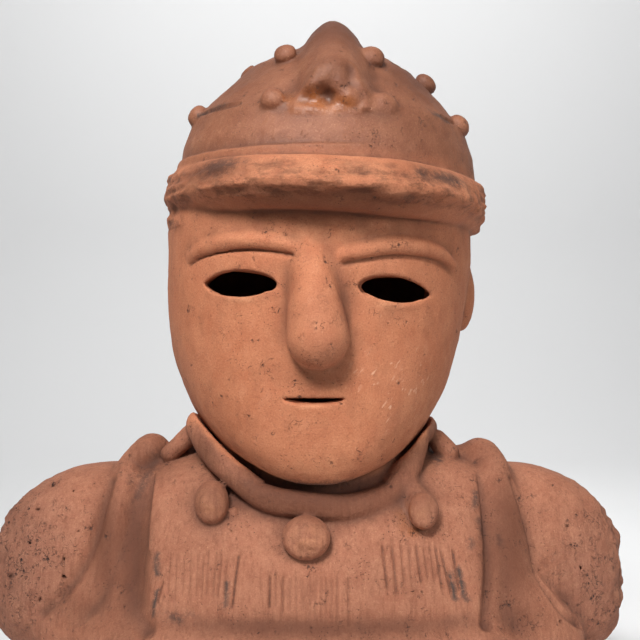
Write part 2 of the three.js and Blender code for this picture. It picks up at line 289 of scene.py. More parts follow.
def lump(centre, radii, azimuth=0.0, slope=0.0, roll=0.0):
    """A pressed ball of clay. Its radii run across, outwards and up, where azimuth 0 faces the
    front and grows to the right, slope leans it back and roll turns it on the surface."""
    a, s, t = np.radians([azimuth, slope, roll])
    outward = np.array([np.sin(a), -np.cos(a), 0])
    flat = np.array([np.cos(a), np.sin(a), 0])
    up = np.array([0, 0, 1.0])
    outward, up = outward * np.cos(s) + up * np.sin(s), up * np.cos(s) - outward * np.sin(s)
    flat, up = flat * np.cos(t) + up * np.sin(t), up * np.cos(t) - flat * np.sin(t)

    def distance(x, y, z):
        gap = (x - centre[0], y - centre[1], z - centre[2])
        local = [sum(g * d for g, d in zip(gap, way)) for way in (flat, outward, up)]
        near = np.sqrt(sum((c / r) ** 2 for c, r in zip(local, radii))) + 1e-6
        steep = np.sqrt(sum((c / r**2) ** 2 for c, r in zip(local, radii))) + 1e-6
        return near * (near - 1) / steep

    return distance


def press_lump(centre, radii, azimuth=0.0, slope=0.0, roll=0.0, blend=1.5):
    most = max(radii)
    press_on(
        lump(centre, radii, azimuth, slope, roll),
        np.array(centre) - most,
        np.array(centre) + most,
        blend,
    )


# ---- Shoulder straps, each spreading below into the lower edge of the armhole ----
def face_of(x, z, way):
    """The y of the clay's front (way -1) or back (way 1) at this x and z."""
    i, k = (int(round((v - low) / grain)) for v, low in ((x, block_low[0]), (z, block_low[2])))
    column = clay[i, :, k]
    hits = np.flatnonzero(column < 0)
    j = hits[0] if way < 0 else hits[-1]
    return float(axes[1][j] - way * grain * column[j] / (column[j] - column[j + way]))


def laid(points, above, way=-1):
    """Points of x, z and radius set on the clay, standing this far out of it."""
    points = np.array(smooth_path(points, 6))
    faces = np.array([face_of(x, z, way) for x, z, r in points])
    order = np.arange(len(faces))
    faces = np.polyval(np.polyfit(order, faces, 4), order)
    depths = faces - way * (points[:, 2] - above)
    return np.column_stack([points[:, 0], depths, points[:, 1:]]).tolist()


def groove(points, deep, way=-1, blend=3.0):
    """A rounded groove through points of x, z and radius, drawn with a finger or a tool."""
    widths = 2 * np.array([p[2] for p in smooth_path(points, 6)])
    track = np.array(laid(points, widths - deep, way))
    most = track[:, 3].max()
    cut_out(rope(track.tolist()), track[:, :3].min(0) - most, track[:, :3].max(0) + most, blend)


# Each strap: x, z and radius up the front, x, y, z and radius over the shoulder, then the back.
left_front = [
    (-134, 38, 20),
    (-124, 52, 17),
    (-115, 66, 12),
    (-110.5, 80, 9),
    (-108, 96, 8),
    (-107, 112, 8),
    (-103.5, 125, 9),
]
left_top = (-93, -2, 133, 11)
left_back = [(-101, 118, 11), (-106, 100, 11), (-111, 80, 12), (-120, 62, 14), (-134, 44, 16)]
right_front = [
    (118, 36, 22),
    (106, 50, 21),
    (98.5, 66, 16),
    (97, 84, 13),
    (95.8, 100, 11.5),
    (94.5, 114, 11),
    (92.5, 125, 11),
]
right_top = (88, -2, 129.5, 12)
right_back = [(93, 116, 11), (98, 100, 11), (104, 80, 12), (113, 62, 14), (126, 44, 16)]
for front, top, back in (
    (left_front, left_top, left_back),
    (right_front, right_top, right_back),
):
    strap = laid(front, 4.5)[::3] + [top] + laid(back, 5, 1)[::3]
    lay_rope(smooth_path(strap, 4), 3.5)

# A broad valley parts the left strap from the chest, and a tool's line the right one. Fainter
# lines part both from the arms.
left_valley = [(-89, 120, 3), (-95, 108, 6), (-97, 94, 7), (-97, 78, 7), (-95, 62, 6), (-88, 50, 4)]
right_line = [(82, 124, 3), (84.5, 112, 3), (85.5, 98, 3), (86.5, 82, 3), (85, 66, 3), (83, 52, 3)]
left_arm = [(-113, 120, 2.5), (-116, 104, 2.5), (-120, 86, 2.5), (-130, 68, 3), (-146, 52, 3)]
right_arm = [(103, 121, 2), (106, 106, 2), (110, 90, 2), (113, 72, 2.2), (124, 57, 2.5), (136, 47, 2.5)]
groove(left_valley, 2.4, blend=7)
groove(right_line, 2.0, blend=2.5)
groove(left_arm, 1.2)
groove(right_arm, 1.5, blend=2)

# ---- Collar: a thick roll that hangs from the nape down over the chest, packed in underneath. A
# dark gap parts it from the overhanging jaw. ----
# x, z and radius along the front, where the roll follows an oval about the neck.
collar_front = [
    (-62.7, 149.8, 9),
    (-57.1, 140.8, 9.3),
    (-49.1, 131.5, 8.8),
    (-38.7, 121.9, 7.8),
    (-26.1, 114.3, 7.2),
    (-12.2, 112.1, 7.2),
    (5.1, 110, 7.2),
    (22.6, 111.4, 7.2),
    (35.3, 115.7, 7.4),
    (43.1, 125.4, 8.4),
    (47.1, 137.1, 9.3),
    (50, 146.3, 9),
]
# x, y, z and radius around the back.
collar_back = [
    (58, 6, 146, 8),
    (52, 34, 146, 7),
    (30, 56, 145, 7),
    (-5, 64, 144, 7),
    (-40, 56, 145, 7),
    (-62, 34, 146, 7),
    (-66, 6, 147, 8),
]
collar_line = [(x, -62 * (1 - ((x + 5) / 65.5) ** 2) ** 0.5, z, radius) for x, z, radius in collar_front]
collar_line += [*collar_back, collar_line[0]]


def packing(x, y, z):
    """The clay pushed in under the roll, which spreads onto the chest."""
    height = np.interp(y, [-62, -50, -25, -13], [109, 117, 136, 145])
    around = np.hypot(x + 3, y)
    return np.maximum(np.maximum(around - 60 - 0.45 * (height - z), z - height), 95 - z) * 0.85


cuts, x, y, z = patch((-80, -76, 95), (76, 76, 160), 8)
roll = rope(smooth_path(collar_line, 3), (1, 0.85, 1))(x, y, z)
lower = soft_min(body_form[cuts], soft_min(roll, packing(x, y, z), 2), 2)
lower = -soft_min(-lower, head(x, y, z) - 1.4, 2)
clay[cuts] = np.minimum(clay[cuts], lower)
del body_form, lower, roll

# ---- Beads: round pellets pressed on below the collar, the largest in front. The right one hangs
# from a stub, and short rolls lie on the shoulders. ----
press_lump((-6.9, face_of(-6.9, 96.5, -1) - 5.5, 96.5), (12.2, 9.5, 11.2), -4, 14, 0, 1)
press_lump((-55.5, face_of(-55.5, 112, -1) - 5, 112), (9.8, 8.5, 11.6), -40, 15, 14, 1)
lay_rope([(47, face_of(47, 119, -1) + 2, 119, 5.0), (51, face_of(51, 110, -1) + 0.5, 110, 8.0)], 4)
press_lump((52.5, face_of(52, 110, -1) - 4.5, 108.5), (8.6, 7, 9.8), 38, 15, -20, 1.2)
lay_rope([(-71, -14, 143.5, 5.6), (-82, -17, 133.5, 4.8)], 1)
lay_rope([(64, -14, 141, 5.6), (70, -17, 134, 5.8)], 1)
press_lump((-76, 2, 129), (10, 16, 9.5), blend=4)
press_lump((76, 2, 128), (10, 16, 9), blend=4)
for azimuth, height in ((118, 128), (156, 130), (-124, 130), (-164, 130)):
    a = np.radians(azimuth)
    press_lump((79 * np.sin(a) - 2, -79 * np.cos(a), height), (9, 8, 9), azimuth, 30, 0, 0.8)

# The front bead's top was trimmed flat with a wire, and a pellet stuck beside the left one.
cuts, x, y, z = patch((-20, -90, 106), (7, -74, 112), 0)
trimmed = np.maximum(clay[cuts], z - 107.4 + 0.05 * x)
clay[cuts] = np.where(y < face_of(-7, 114, -1) - 0.5, trimmed, clay[cuts])
press_lump((-44.5, face_of(-44.5, 106, -1) + 0.5, 106.5), (2.4, 2.2, 3.8), 0, 0, -12, 1)

# ---- Brim: a thick shelf that reaches furthest over the face. Its upper face slopes forward, its
# lower face slopes back to an edge, and a hollow runs from there to the forehead. ----
def brim(x, y, z):
    across, up = leaned(x, z)
    around = np.hypot(across, y) + 0.01
    forward = np.clip(-y / around, 0, 1) ** 0.7
    reach = around / np.sqrt((across / 89.5) ** 2 + (y / np.where(y < 0, 112, 92)) ** 2 + 1e-6)
    inwards = reach - around
    edge = true_distance(around - reach)
    slope = 1 + 10 * forward
    upper = (up - 269.5 - 15 * inwards / slope) * slope / np.hypot(15, slope)
    top = up - 284.5 + 1.5 * forward - 0.12 * inwards
    back = 3 + 11 * forward
    lower = (268.5 - 9.5 * inwards / back - up) * back / np.hypot(9.5, back)
    lip = 258.6 - 0.9 * forward - up
    over = -soft_min(-upper, -top, 3)
    under = -soft_min(-lower, -lip, 2)
    return -soft_min(-edge, soft_min(-over, -under, 2.5), 2.5)


press_on(brim, (-92, -114, 246), (98, 96, 298), 1.5)


# ---- Rivets: pellets on the seams between the bands; one of the upper row is lost ----
def on_helmet(azimuth, radius, z):
    a = np.radians(azimuth)
    across = radius * np.sin(a)
    up = z - brim_middle[1]
    return (
        brim_middle[0] + across * np.cos(helmet_droop) + up * np.sin(helmet_droop),
        -1.03 * radius * np.cos(a),
        brim_middle[1] - across * np.sin(helmet_droop) + up * np.cos(helmet_droop),
    )


for azimuth in (-77.1, -23, 76, 128.6, 180, -128.6):
    press_lump(on_helmet(azimuth, 73.5, 315.5), (6.4, 5.0, 6.4), azimuth, 28, 0, 1)
press_lump(on_helmet(22.8, 72.5, 315.0), (7.2, 4.2, 6.6), 25, 30, 0, 2)
for azimuth, radius, z in (
    (-31, 47.5, 345.5),
    (27, 48, 345),
    (84, 53.5, 340.5),
    (142, 50, 343),
    (-142, 48, 346),
):
    press_lump(on_helmet(azimuth, radius, z), (6.2, 4.6, 6.2), azimuth, 42, 0, 1)
press_lump(on_helmet(-86, 46.5, 344), (5.5, 2.0, 5.5), -86, 45, 0, 1.5)

# Three lengths of the seams have opened as the clay dried.
for first, last, radius, z in (
    (-68, -40, 73.4, 315.6),
    (56, 70, 73.4, 315.6),
    (50, 72, 44.4, 345.4),
):
    track = [(*on_helmet(a, radius, z), 1.9) for a in np.linspace(first, last, 9)]
    cut_out(rope(track), np.min(track, 0)[:3] - 2, np.max(track, 0)[:3] + 2, 0.5)

# ---- Crest: a keel from the lower seam up over the dome, its front broken off in lumps ----
# y and z along the keel's top.
keel_line = [
    (-84, 328),
    (-77, 335),
    (-60, 349),
    (-45, 360.5),
    (-27, 369),
    (-8, 367),
    (12, 358.5),
    (30, 346),
]


def keel(x, y, z):
    """A ridge with a rounded top and flanks that grow steeper, its front broken off upright."""
    top = eased(y, *zip(*keel_line), 4)
    side = x - np.interp(z, [310, 366], [7.4, 6.6])
    flank = true_distance(z - top + side**2 / 17)
    broken = -y - 77.5 + 1.8 * np.sin(0.4 * z + 1) + 1.5 * np.sin(0.5 * x)
    rough_front = -soft_min(-flank, -broken, 3)
    ends = np.maximum(np.abs(side) - 22, 310 - z)
    return -soft_min(-rough_front, -ends, 3.5)


press_on(keel, (-17, -84, 308), (33, 34, 370), 3.5)
press_lump((4.5, -76.5, 328), (9, 4.4, 6.8), 0, 8, 10, 2)
press_lump((14.5, -76.5, 316.5), (6.5, 4, 5.6), 6, 0, -25, 2)
press_lump((9, -77.5, 322), (4, 3, 4), 0, 0, 20, 1)
cut_out(lump((-2, -83, 315), (9, 3.4, 3.6), -2, 6), (-14, -90, 308), (8, -74, 323), 4)
press_on(rope([(-12, -76, 309.6, 1.8), (19, -76, 308.8, 1.8)]), (-15, -80, 306), (22, -73, 313), 3.5)

# ---- Nose: a long wedge of clay that widens to a blunt ball ----
nose_spine = [
    (-5.5, -79.5, 244, 5.5),
    (-4.4, -82, 232, 9),
    (-3.2, -85.5, 219, 12),
    (-2.0, -88.8, 206, 14.2),
    (-1.0, -91.0, 196, 15.4),
]
lay_rope(smooth_path(nose_spine, 3), 4.5)

# ---- Brows: low ridges over the eyes, each with its lower edge pinched in ----
left_brow = [
    (-67, -50, 238.5, 2.2),
    (-59, -59, 242, 3.6),
    (-48, -68.2, 244, 4.2),
    (-36, -75.8, 244.6, 4.4),
    (-24, -80.6, 243.4, 4.0),
    (-13, -83.4, 241, 2.6),
]
right_brow = [
    (11.5, -83.6, 236.6, 2.8),
    (22, -81.4, 239.2, 3.8),
    (36, -76.2, 241.6, 4.2),
    (50, -67.4, 241.6, 4.0),
    (61, -57.6, 239.2, 3.6),
    (69, -48, 234.2, 2.6),
]
for brow in (left_brow, right_brow):
    brow = np.array(smooth_path(brow, 3))
    lay_rope(brow - (0, 0.7, 0, 0), 2.5)
    under = brow - (0, 0.8, 4.6, 0)
    under[:, 3] = 0.4 * np.sin(np.linspace(0.3, 2.6, len(under)))
    cut_out(rope(under.tolist()), under[:, :3].min(0) - 3, under[:, :3].max(0) + 3, 3)

# ---- Ears: low flattened pads of clay, no more than bumps ----
press_lump((80.5, 10, 220), (14, 7.6, 19.5), 90, 0, 0, 4)
press_lump((-79.5, 16, 221), (13, 7.2, 18), -90, 0, 0, 4)

# ---- The hollow, open underneath, then the eyes and the mouth cut through the wall ----
clay = np.maximum(clay, -(plain_form + wall))


def almond(centre, half_width, half_height, droop, inward, point):
    """An eye. droop tips its outer end down, inward slants the cut, and point is its sharper end."""

    def distance(x, y, z):
        depth = y + 76
        across = x - centre[0] - depth * inward
        up = z - centre[1]
        tip = np.radians(droop)
        along = across * np.cos(tip) + up * np.sin(tip)
        over = up * np.cos(tip) - across * np.sin(tip)
        share = np.clip(along / half_width, -1, 1)
        sharp = np.where(share * point > 0, 0.78, 0.55)
        height = half_height * (1 - share**2) ** sharp
        return np.maximum(np.abs(over) - height, np.abs(along) - half_width) * 0.8

    return distance


cut_out(almond((-40.6, 223), 19.4, 7.0, -2, 0.06, -1), (-66, -92, 213), (-14, -50, 233), 0.8)
cut_out(almond((36.8, 220), 17.4, 7.0, -6, 0.12, 1), (12, -92, 210), (64, -50, 230), 0.8)

# A low rim was pushed up along each lower lid.
for eye_x, eye_z, droop, half_width in ((-40.6, 223, -2, 18), (37.2, 220, -6, 17)):
    rim = []
    tip = np.radians(droop)
    for a in np.radians(np.linspace(214, 326, 9)):
        along = half_width * np.cos(a)
        over = 8.2 * np.sin(a)
        x = eye_x + along * np.cos(tip) - over * np.sin(tip)
        z = eye_z + over * np.cos(tip) + along * np.sin(tip)
        rim.append((x, face_of(x, z, -1) + 0.6, z, 1.5))
    lay_rope(rim, 1.5)


def mouth(x, y, z):
    share = np.clip((x + 3) / 15, -1, 1)
    middle = 165.4 + 0.8 * share**2
    height = 1.3 * (1 - np.abs(share) ** 2.5) ** 0.7
    lip = np.clip((-y - 80) / 6, 0, 1)
    above = np.abs(z - middle + lip * 1.1) - height - lip
    return np.maximum(above, np.abs(x + 3) - 15) * 0.9


cut_out(mouth, (-20, -94, 160), (14, -66, 171), 0.8)

# Pits where grit and straw fell out of the clay: x, z and half a width for each.
for x, z, size in (
    (-146, 116, 1.6), (-133, 113, 1.8), (-144, 95, 1.5), (-135, 80, 2.0),
    (-166, 69, 1.7), (-135, 71, 2.2), (-148, 58, 1.8), (-137, 60, 1.6),
    (-155, 87, 1.4), (-160, 52, 1.6), (-128, 94, 1.5), (-152, 104, 1.3),
    (115, 74, 1.6), (138, 74, 2.2), (145, 73, 1.6), (121, 65, 1.8),
    (123, 51, 1.5), (132, 96, 1.4), (128, 84, 1.5), (150, 88, 1.4),
    (140, 58, 1.5), (118, 104, 1.3), (-45, 98, 1.2), (-2, 200, 1.0),
):
    y = face_of(x, z, -1)
    pit = lump((x, y, z), (size, size * 0.55, size * 0.45), x * 0.3, 0, 137 * size)
    cut_out(pit, (x - 3, y - 3, z - 3), (x + 3, y + 3, z + 3), 0.3)

# ---- The breaks: the arms end in rough tilted faces, and the underside is cut flat ----
def left_break(x, y, z):
    return x + 179.5 + 0.16 * (z - 57) - 0.1 * (y - 4)


def right_break(x, y, z):
    return 166.5 - x + 0.05 * (z - 57) + 0.12 * (y - 4)


cut_out(left_break, (-192, -60, -5), (-150, 60, 140), 5)
cut_out(right_break, (140, -60, -5), (184, 60, 140), 2.5)
cut_out(lump((172, -24, 50), (7, 9, 26), 90), (160, -60, 20), (184, 10, 80), 2)
cut_out(lump((167, -8, 30), (7, 20, 7), 90), (150, -40, 15), (184, 30, 45), 2)
cut_out(lambda x, y, z: z, block_low, block_high, 0.6)


# ---- The surface of the clay ----
def noise(points, size, seed):
    """Smooth random lumps between -1 and 1, size mm apart."""
    place = points / size
    corner = np.floor(place).astype(np.int64)
    inside = place - corner
    inside = inside * inside * (3 - 2 * inside)
    total = np.zeros(len(points), np.float32)
    for dx in (0, 1):
        for dy in (0, 1):
            for dz in (0, 1):
                c = corner + (dx, dy, dz)
                random = (c[:, 0] * 73856093) ^ (c[:, 1] * 19349663) ^ (c[:, 2] * 83492791)
                random ^= seed * 2654435761
                random = (random ^ (random >> 13)) * 1274126177 & 0xFFFFFFFF
                random = (random ^ (random >> 15)) & 0xFFFF
                weight = (
                    (inside[:, 0] if dx else 1 - inside[:, 0])
                    * (inside[:, 1] if dy else 1 - inside[:, 1])
                    * (inside[:, 2] if dz else 1 - inside[:, 2])
                )
                total += weight * (random / 32767.5 - 1)
    return total


def within(points, centre, radii, soft=0.5):
    """How far into an oval patch each point is, from 0 outside it to 1 well inside."""
    far = np.sqrt((((points - centre) / radii) ** 2).sum(1))
    return np.clip((1 - far) / soft, 0, 1)


def painted(points, patches, soft):
    """The strongest of several oval patches, each with its centre, radii and strength."""
    value = np.zeros(len(points))
    for centre, radii, strength in patches:
        value = np.maximum(value, strength * within(points, centre, radii, soft))
    return value


def near_line(points, start, end, width):
    """1 on a line drawn on the front of the figure, falling to 0 at width from it."""
    a, b = np.array(start, float), np.array(end, float)
    way = b - a
    gap = points[:, [0, 2]] - a
    share = np.clip(gap @ way / (way @ way), 0, 1)
    away = np.hypot(*(gap - share[:, None] * way).T)
    fade = np.clip(np.minimum(share, 1 - share) * 8, 0.25, 1)
    return np.clip(1 - away / width, 0, 1) * fade


surface = openvdb.FloatGrid(background=float(clay.max()))
surface.copyFromArray(np.ascontiguousarray(clay))
points, _, quads = surface.convertToPolygons(isovalue=0.0, adaptivity=0.0)
points = points * grain + np.array(block_low)


def cells_at(points):
    return np.clip(((points - block_low) / grain).round().astype(int), 0, np.array(clay.shape) - 1)


figure_mesh = bpy.data.meshes.new("haniwa")
figure_mesh.vertices.add(len(points))
figure_mesh.vertices.foreach_set("co", points.astype(np.float32).ravel())
figure_mesh.loops.add(4 * len(quads))
figure_mesh.loops.foreach_set("vertex_index", quads.astype(np.int32).ravel())
figure_mesh.polygons.add(len(quads))
figure_mesh.polygons.foreach_set("loop_start", np.arange(0, 4 * len(quads), 4, dtype=np.int32))
figure_mesh.update(calc_edges=True)

# The combed part of the chest gets faces half as wide, so that its strokes stay crisp.
fine = bmesh.new()
fine.from_mesh(figure_mesh)
combed_edges = [
    e
    for e in fine.edges
    if all(v.co.y < -55 and 50 < v.co.z < 96 and -86 < v.co.x < 74 for v in e.verts)
]
bmesh.ops.subdivide_edges(fine, edges=combed_edges, cuts=1, use_grid_fill=True)
fine.to_mesh(figure_mesh)
fine.free()


def at_vertices(mesh, name):
    """The places ("co") or normals ("normal") of a mesh's vertices."""
    values = np.empty(3 * len(mesh.vertices), np.float32)
    mesh.vertices.foreach_get(name, values)
    return values.reshape(-1, 3)


points = at_vertices(figure_mesh, "co")
inside_wall = plain_form[tuple(cells_at(points).T)] < -wall * 0.6
del clay, plain_form

# Comb strokes on the chest: x and z of each one's top, x and z of its foot, and its depth.
comb_strokes = [
    (-76.5, 89, -77, 64, 0.25),
    (-73, 88, -73.5, 62, 0.25),
    (-69, 88, -69.5, 66, 0.2),
    (-65.5, 87, -66, 63, 0.2),
    (-62, 88, -62.5, 66, 0.25),
    (-59, 89, -59.5, 64, 0.3),
    (-56.5, 89, -57, 66, 0.3),
    (-52.5, 88, -54, 64, 0.45),
    (-49.5, 87, -51.5, 65, 0.5),
    (-46.5, 87, -48.5, 66, 0.4),
    (-40.5, 90, -44, 59, 0.7),
    (-79.5, 74, -82.5, 61, 0.6),
    (-24.8, 79, -25, 61, 0.6),
    (-22, 80, -22.2, 62, 0.35),
    (-18.4, 79, -18.6, 58, 0.5),
    (-14.5, 78, -14.7, 60, 0.25),
    (-11.5, 79, -11.7, 58, 0.25),
    (-8.5, 78, -8.7, 60, 0.3),
    (-5, 79, -5.2, 57, 0.3),
    (-2.2, 78, -2.4, 57, 0.3),
    (0.8, 79, 0.8, 56, 0.35),
    (3, 79, 3, 57, 0.35),
    (5.8, 78, 5.8, 56, 0.4),
    (8.6, 79, 8.6, 55, 0.35),
    (14, 79, 14.2, 52, 0.45),
    (31, 94, 33.8, 69, 0.6),
    (36, 94, 38.4, 66, 0.6),
    (40.6, 93, 42.4, 72, 0.45),
    (44.6, 93, 46, 71, 0.45),
    (48.4, 93, 50.8, 72, 0.55),
    (52.4, 92, 54.2, 74, 0.4),
    (55.8, 92, 57.6, 73, 0.45),
    (58.4, 92, 61.4, 68, 0.6),
    (61, 90, 66, 66, 0.7),
    (67.2, 90, 70.4, 67, 0.75),
]


def combed(points, least=0.0):
    """The depth in mm of the comb strokes at each point, from strokes at least this deep."""
    depth = np.zeros(len(points))
    here = (points[:, 1] < -50) & (points[:, 2] > 45) & (points[:, 2] < 100) & (np.abs(points[:, 0]) < 95)
    near = points[here]
    for x0, z0, x1, z1, deep in comb_strokes:
        if deep >= least:
            depth[here] = np.maximum(depth[here], deep * near_line(near, (x0, z0), (x1, z1), 1.1))
    return depth


def brim_part(points):
    outward = np.hypot(points[:, 0] - 3, points[:, 1] * 0.82)
    return np.clip((outward - 82) / 4, 0, 1) * (points[:, 2] > 255) * (points[:, 2] < 296)


normals = at_vertices(figure_mesh, "normal")
front = ~inside_wall & (points[:, 1] < 0)

# How rough the clay is in each place: the arms, the crest's break and the strap's foot, then the
# beads, and most of all the arms' broken ends and the brim's worn edge.
rough_patches = [
    ((-160, 0, 70), (48, 60, 80), 0.5),
    ((150, 0, 70), (44, 60, 80), 0.5),
    ((5, -80, 334), (20, 16, 18), 0.6),
    ((92, -72, 52), (16, 20, 14), 0.7),
]
rough_beads = [
    ((-6.9, -86, 96.5), (13, 12, 12), 0.9),
    ((-55.5, -72, 112), (11, 14, 12), 0.9),
    ((52, -72, 109), (9, 12, 11), 0.9),
    ((4, -80, 320), (18, 10, 14), 0.5),
]
rough = np.maximum(painted(points, rough_patches, 0.5), painted(points, rough_beads, 0.3))
brim_edge = np.clip((np.hypot(points[:, 0] - 3, points[:, 1] * 0.82) - 84) / 5, 0, 1)
brim_edge *= (points[:, 2] > 262) & (points[:, 2] < 294)
for part, strength in (
    (np.clip((-170 - points[:, 0]) / 6, 0, 1), 0.9),
    (np.clip((points[:, 0] - 157) / 6, 0, 1), 0.9),
    (brim_edge, 0.45),
    (np.clip((points[:, 2] - 300) / 10, 0, 1), 0.2),
):
    rough = np.maximum(rough, strength * part)
rough += 0.5 * np.clip((points[:, 0] - 150) / 12, 0, 1)
rough += 0.5 * np.clip((-162 - points[:, 0]) / 10, 0, 1)

# How far the surface stands out: hand-squeezed waves, then finer lumps where it is rough.
lift = 0.75 * noise(points, 42, 1) + 0.4 * noise(points, 17, 2) + 0.16 * noise(points, 7, 3)
lift += rough * (1.3 * noise(points, 9, 4) + 0.8 * noise(points, 4.5, 5) + 0.45 * noise(points, 2.4, 6))
lift += 0.09 * noise(points, 2.6, 7)
brim_chips = noise(points * (0.22, 0.3, 1.6), 4, 11) + 0.8 * noise(points * (0.4, 0.5, 1), 3, 12)
lift += brim_part(points) * brim_chips
comb_depth = 2.2
lift -= comb_depth * combed(points) * front
# A tool's line beside the jaw.
lift -= 0.4 * near_line(points, (45, 153), (27, 138), 1.6) * front
lift = np.where(inside_wall, 1.2 * noise(points, 30, 8) + 0.6 * noise(points, 12, 9), lift)
lift *= np.clip(points[:, 2] / 3, 0, 1)
points = points + normals * lift[:, None]
figure_mesh.vertices.foreach_set("co", points.astype(np.float32).ravel())
figure_mesh.update()

rough_figure = bpy.data.objects.new("haniwa_rough", figure_mesh)
bpy.context.collection.objects.link(rough_figure)
thinner = rough_figure.modifiers.new("fewer_faces", "DECIMATE")
most_triangles = 0.95 * 196000
thinner.ratio = min(1.0, most_triangles / sum(len(p.vertices) - 2 for p in figure_mesh.polygons))
thin_here = rough_figure.vertex_groups.new(name="thin_here")
lips = (points[:, 2] > 155) & (points[:, 2] < 175) & (np.abs(points[:, 0]) < 22)
keep = (combed(points) > 0) | (lips & (points[:, 1] < -70))
thin_here.add(np.flatnonzero(~keep).tolist(), 1.0, "REPLACE")
thinner.vertex_group = "thin_here"
thinner.vertex_group_factor = 1.0
thinned = rough_figure.evaluated_get(bpy.context.evaluated_depsgraph_get())
figure = bpy.data.objects.new("haniwa_figure_clay", bpy.data.meshes.new_from_object(thinned))
bpy.data.objects.remove(rough_figure)
bpy.data.meshes.remove(figure_mesh)
bpy.context.collection.objects.link(figure)
mesh = figure.data
mesh.shade_smooth()

points = at_vertices(mesh, "co")
normals = at_vertices(mesh, "normal")

# How far each point lies in a fold or groove, from its neighbours: 0 on flat or raised clay. Below, this
# darkens the clay as painted shade, with some dirt.
edges = np.empty(2 * len(mesh.edges), np.int32)
mesh.edges.foreach_get("vertices", edges)
edges = edges.reshape(-1, 2)
count = np.bincount(edges.ravel(), minlength=len(points))


def spread(value, rounds):
    """Evens a value out between neighbouring points."""
    for _ in range(rounds):
        total = np.bincount(edges[:, 0], value[edges[:, 1]], len(points))
        total += np.bincount(edges[:, 1], value[edges[:, 0]], len(points))
        value = 0.5 * value + 0.5 * total / np.maximum(count, 1)
    return value


around_mean = np.column_stack([spread(points[:, k].astype(float), 6) for k in range(3)])
crease_shade_and_dirt = np.clip(((around_mean - points) * normals).sum(1) / 0.5, 0, 1)
crease_shade_and_dirt = spread(crease_shade_and_dirt, 2)

# Soot lies in patches, in the deepest comb strokes and in streaks. Two bands on the collar's top paint
# the jaw's shade in the same dark colour.
soot_and_shade_patches = [
    ((-58, -84, 281), (34, 26, 8), 1.0),
    ((52, -92, 277), (9, 14, 6), 1.0),
    ((68, -76, 276), (30, 26, 6), 0.9),
    ((-20, -104, 284), (16, 10, 3), 0.6),
    # This band and the one at z 118 are painted shade: the jaw's shadow on the collar's top.
    ((0, -62, 122), (60, 22, 6), 0.9),
    ((24, -108, 277), (10, 8, 3), 0.5),
    ((-83, -20, 283), (8, 18, 5), 0.7),
    ((0, -62, 118), (46, 14, 9), 0.75),
    ((-100, -30, 122), (7, 18, 16), 0.55),
    ((-97, -58, 90), (3, 12, 14), 0.6),
    ((-84, -70, 60), (16, 12, 10), 0.4),
    ((-65, -76, 58), (12, 10, 5), 0.45),
    ((82, -50, 117), (3, 12, 5), 0.9),
    ((84, -56, 104), (3.5, 12, 9), 0.8),
    ((93, -56, 96), (2.5, 10, 6), 0.8),
    ((77, -60, 98), (5, 10, 6), 0.4),
    ((68.5, -70, 76), (3.5, 12, 10), 0.6),
    ((-160, -20, 68), (22, 40, 22), 0.25),
    ((120, -36, 80), (24, 30, 14), 0.2),
    ((-50, -66, 98), (8, 12, 8), 0.3),
    ((28, -80, 88), (10, 12, 8), 0.3),
]
soot_and_shade = painted(points, soot_and_shade_patches, 0.8)
soot_and_shade = np.maximum(soot_and_shade, 0.8 * np.clip(combed(points, 0.55) / 0.5 - 0.5, 0, 1))
for start, end, width, strength in (
    ((-87, 137), (-100, 106), 5.5, 0.8),
    ((-84, 87), (-83, 74), 3.0, 1.0),
    ((-82, 71), (-85, 54), 2.2, 1.0),
    ((-76, 58), (-68, 54), 4.0, 0.9),
    ((-99, 72), (-97, 62), 3.0, 0.7),
    ((82, 117), (81.5, 107), 3.2, 1.0),
    ((83.5, 104), (85, 92), 3.4, 0.9),
    ((93, 95), (93.5, 87), 3.0, 1.0),
    ((65, 79), (68, 63), 2.4, 1.0),
    ((69.5, 82), (73, 63), 2.8, 1.0),
    ((-46.5, 76), (-46.5, 61), 2.4, 0.9),
    ((58, 134), (66, 130), 4.5, 0.9),
    ((76, 95), (78, 88), 4.0, 0.7),
    ((-69, 317), (-47, 318.5), 2.6, 1.0),
    ((57, 314.5), (70, 310), 2.6, 1.0),
):
    streak = near_line(points, start, end, width) * (points[:, 1] < -5)
    soot_and_shade = np.maximum(soot_and_shade, strength * streak)

# Worn, lighter clay. The patches on the forehead, the lower chin, the brow ridges, the lower lids and the
# lower lip are painted highlights.
wear_and_highlight_patches = [
    ((0, -106, 276), (70, 20, 9), 0.45),
    ((-62, -78, 273), (30, 30, 6), 0.6),
    ((68, -70, 273), (26, 30, 9), 0.7),
    ((-6.9, -87, 96.5), (14, 18, 14), 1.0),
    ((52, -74, 108), (9, 12, 10), 0.7),
    ((-55.5, -72, 112), (15, 18, 16), 1.0),
    ((0, -66, 131), (48, 34, 13), 0.55),
    ((0, -86, 248), (64, 24, 8), 0.6),
    ((60, -50, 152), (26, 50, 30), 0.8),
    ((-38, -82, 246), (26, 10, 5), 0.5),
    ((40, -80, 243), (30, 14, 5), 0.35),
    ((-40, -80, 215.5), (18, 12, 3), 1.0),
    ((37, -80, 212.5), (18, 12, 3), 1.0),
    ((-3, -86, 162.5), (15, 8, 2.6), 1.0),
    ((4, -78, 329), (10, 10, 7), 0.5),
    ((42, -68, 106), (7, 12, 10), 0.8),
]

# The head as seen from the front, where the collar's painted shade and dirt and the body's duller colour
# stop.
share = down_face(points[:, 2])
jaw_half = head_half_width * egg(share, 2.25) + 1
on_head = (points[:, 2] > jaw_height - 1.5) & (np.abs(off_middle(points[:, 0], share)) < jaw_half)
